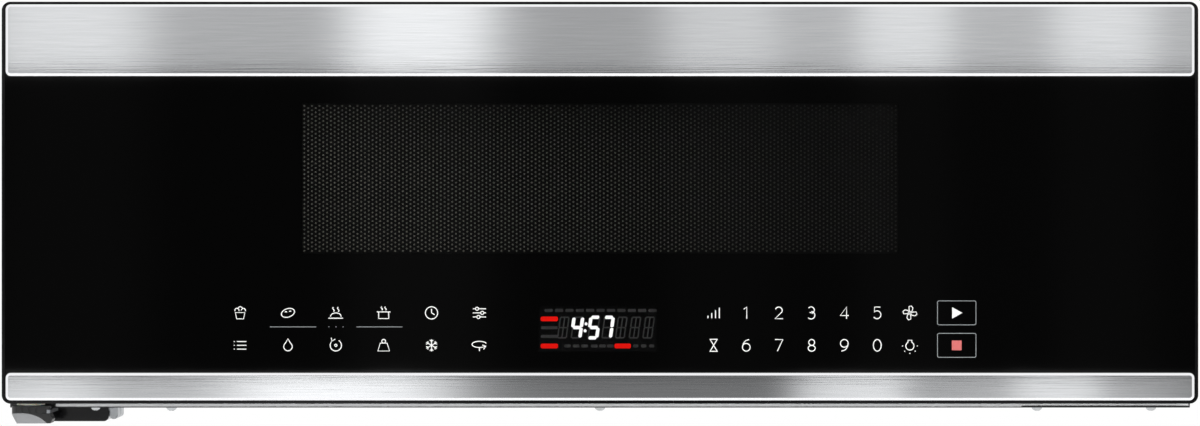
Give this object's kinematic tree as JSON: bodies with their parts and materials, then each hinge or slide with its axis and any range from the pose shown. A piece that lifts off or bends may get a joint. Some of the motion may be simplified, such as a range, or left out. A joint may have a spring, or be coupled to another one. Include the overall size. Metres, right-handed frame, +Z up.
{
  "type": "over the range microwave",
  "caption": "Low profile over the range microwave oven with a built-in vent hood: full-width glass door hinged at the left, steel trims, turntable, grease filters and exhaust blower.",
  "frame": {"origin": "middle of the rear face that hangs against the wall, at half the case's height", "axes": "+X to the user's right, +Y into the wall, +Z up; the door faces -Y"},
  "size_m": [0.759, 0.46, 0.2812],
  "materials": {
    "aluminium_mesh": "expanded aluminium",
    "black_plastic": "fine matt",
    "board": "circuit board",
    "case_paint": "satin black paint",
    "cavity_paint": "light grey oven paint",
    "charcoal": "carbon coated mat",
    "clear_glass": "clear",
    "core_steel": "varnished laminations",
    "display": "dark display window",
    "door_black": "gloss black",
    "front_glass": "gloss black printed glass",
    "galvanised": "matt zinc plate",
    "grey_plastic": "fine matt",
    "lens_glass": "frosted",
    "mica": "flaky mica sheet",
    "nylon": "matt",
    "pan_paint": "satin light grey paint",
    "plated": "bright zinc plate",
    "rubber": "matt",
    "screen_black": "satin black enamel",
    "stainless": "brushed along the width",
    "tray_glass": "clear",
    "white_plastic": "matt"
  },
  "bodies": {
    "case": {"outer_case": "case_paint", "side_panels": "case_paint", "back_panel": "galvanised", "base_pan": "pan_paint", "front_plate": "cavity_paint", "top_vent_grille": "black_plastic", "charcoal_filter": "charcoal", "exhaust_spigot": "galvanised", "cord_bushing": "rubber", "cabinet_bolt_nuts": "plated", "base_screws": "plated", "case_screws": "plated", "lamp_lenses": "lens_glass", "lamp_boards": "white_plastic", "cavity_shell": "cavity_paint", "waveguide_cover": "mica", "waveguide": "galvanised", "magnetron": "galvanised", "transformer": "core_steel", "hv_capacitor": "galvanised", "fan_housing": "black_plastic", "fan_motor": "core_steel", "blower_housing": "galvanised", "blower_motor": "galvanised", "turntable_motor": "galvanised", "cavity_lamp": "white_plastic", "power_board": "board", "latch_board": "white_plastic", "interlock_switches": "black_plastic", "lower_hinge_bracket": "galvanised", "upper_hinge_bracket": "galvanised", "hinge_pins": "plated", "pivot_cap": "grey_plastic", "hinge_cable_cover": "black_plastic"},
    "door": {"door_surround": "door_black", "door_glass": "front_glass", "top_trim": "stainless", "bottom_trim": "stainless", "door_frame": "galvanised", "door_screen": "screen_black", "inner_pane": "clear_glass", "choke_cover": "black_plastic", "touch_board": "board", "display_module": "display", "door_bushes": "nylon", "pull_pocket": "black_plastic"},
    "latch": {"latch_hook": "white_plastic"},
    "turntable": {"glass_tray": "tray_glass", "drive_coupler": "nylon"},
    "ring": {"roller_ring": "nylon"},
    "roller_a": {"roller_1": "nylon"},
    "roller_b": {"roller_2": "nylon"},
    "roller_c": {"roller_3": "nylon"},
    "filter_left": {"grease_filter_left": "aluminium_mesh"},
    "filter_right": {"grease_filter_right": "aluminium_mesh"},
    "damper": {"damper_flap": "galvanised"},
    "vent_wheels": {"blower_wheels": "black_plastic"},
    "cooling_fan": {"fan_blade": "white_plastic"},
    "switch_button_lower": {"plunger_lower": "white_plastic"},
    "switch_button_upper": {"plunger_upper": "white_plastic"}
  },
  "joints": [
    {"name": "door_swing", "type": "hinge", "parent": "case", "child": "door", "pos_m": [-0.363, -0.442, 0], "axis": [0, 0, -1], "range_deg": [0, 100]},
    {"name": "latch_lift", "type": "slide", "parent": "door", "child": "latch", "axis": [0, 0, 1], "range_m": [0, 0.003], "stiffness_N_per_m": 600},
    {"name": "turntable_spin", "type": "hinge", "parent": "case", "child": "turntable", "pos_m": [0, -0.2515, -0.05], "axis": [0, 0, 1], "continuous": true},
    {"name": "roller_ring_spin", "type": "hinge", "parent": "case", "child": "ring", "pos_m": [0, -0.2515, -0.0592], "axis": [0, 0, 1], "continuous": true},
    {"name": "roller_a_spin", "type": "hinge", "parent": "ring", "child": "roller_a", "pos_m": [0, -0.1565, -0.0592], "axis": [0, 1, 0], "continuous": true},
    {"name": "roller_b_spin", "type": "hinge", "parent": "ring", "child": "roller_b", "pos_m": [-0.08227, -0.299, -0.0592], "axis": [-0.866, -0.5, 0], "continuous": true},
    {"name": "roller_c_spin", "type": "hinge", "parent": "ring", "child": "roller_c", "pos_m": [0.08227, -0.299, -0.0592], "axis": [0.866, -0.5, 0], "continuous": true},
    {"name": "filter_left_drop", "type": "slide", "parent": "case", "child": "filter_left", "axis": [0, 0, -1], "range_m": [0, 0.04]},
    {"name": "filter_right_drop", "type": "slide", "parent": "case", "child": "filter_right", "axis": [0, 0, -1], "range_m": [0, 0.04]},
    {"name": "damper_swing", "type": "hinge", "parent": "case", "child": "damper", "pos_m": [0, -0.01875, 0.1365], "axis": [-1, 0, 0], "range_deg": [0, 80]},
    {"name": "vent_wheel_spin", "type": "hinge", "parent": "case", "child": "vent_wheels", "pos_m": [0, -0.044, 0.072], "axis": [1, 0, 0], "continuous": true},
    {"name": "cooling_fan_spin", "type": "hinge", "parent": "case", "child": "cooling_fan", "pos_m": [0.322, -0.119, 0.025], "axis": [0, 1, 0], "continuous": true},
    {"name": "switch_lower_press", "type": "slide", "parent": "case", "child": "switch_button_lower", "axis": [0, 1, 0], "range_m": [0, 0.001], "stiffness_N_per_m": 200},
    {"name": "switch_upper_press", "type": "slide", "parent": "case", "child": "switch_button_upper", "axis": [0, 1, 0], "range_m": [0, 0.001], "stiffness_N_per_m": 200}
  ],
  "couplings": [
    {"joint": "roller_ring_spin", "follows": "turntable_spin", "ratio": 0.5},
    {"joint": "roller_a_spin", "follows": "turntable_spin", "ratio": -5.9375},
    {"joint": "roller_b_spin", "follows": "turntable_spin", "ratio": -5.9375},
    {"joint": "roller_c_spin", "follows": "turntable_spin", "ratio": -5.9375}
  ]
}
